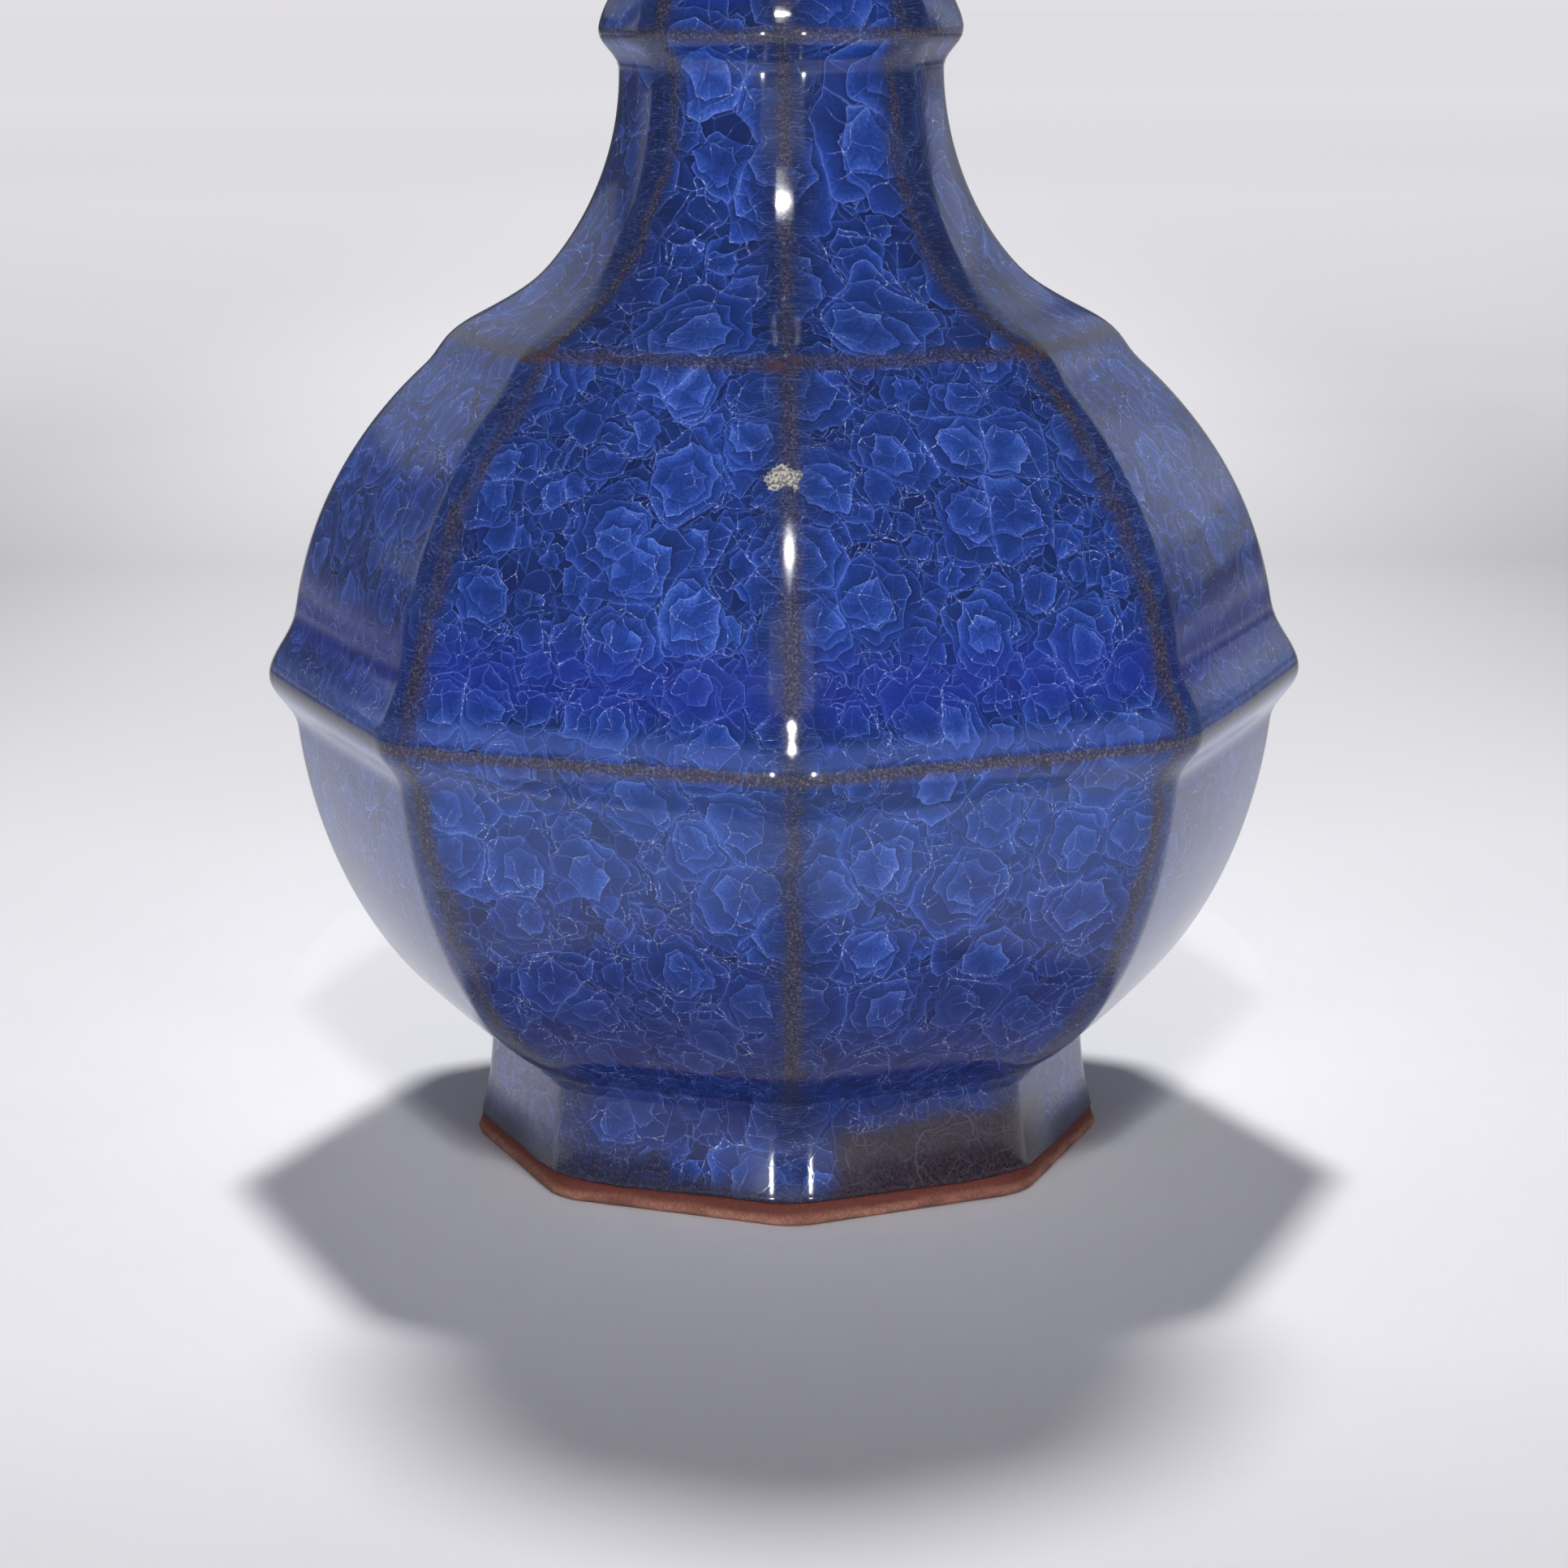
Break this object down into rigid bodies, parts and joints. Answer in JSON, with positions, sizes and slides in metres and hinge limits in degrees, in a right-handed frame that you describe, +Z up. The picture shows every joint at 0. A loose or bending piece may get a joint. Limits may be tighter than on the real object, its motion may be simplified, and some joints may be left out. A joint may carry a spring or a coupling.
{
  "type": "bottle vase",
  "caption": "Faceted ceramic bottle vase with a ridged belly and a narrow ridged neck, glazed in blue ice crackle, standing on a splayed foot, for flowers or display.",
  "frame": {"origin": "middle of the foot's standing face, on the table", "axes": "+Z up along the axis of the vase; a corner of the vase points along -Y and another along +X"},
  "size_m": [0.17, 0.17, 0.268],
  "materials": {
    "bare_clay": "matt, fired red-brown, bare at the rim of the foot",
    "clay": "matt stoneware under the glaze",
    "slip": "fired slip in the seams",
    "crackle_glaze": "thick glossy cobalt glaze with layered ice crackle, brown where it thins at the edges",
    "liner_glaze": "glossy cobalt glaze inside",
    "base_glaze": "glossy cobalt glaze in the recess under the foot"
  },
  "bodies": {
    "root": {"foot_ring": "bare_clay", "slip_foot": "slip", "floor_slab": "clay", "slip_floor": "slip", "lower_belly": "clay", "slip_belly": "slip", "upper_belly": "clay", "slip_shoulder": "slip", "lower_neck": "clay", "slip_neck": "slip", "upper_neck": "clay", "outer_glaze": "crackle_glaze", "inner_glaze": "liner_glaze", "base_glaze": "base_glaze"}
  },
  "joints": []
}
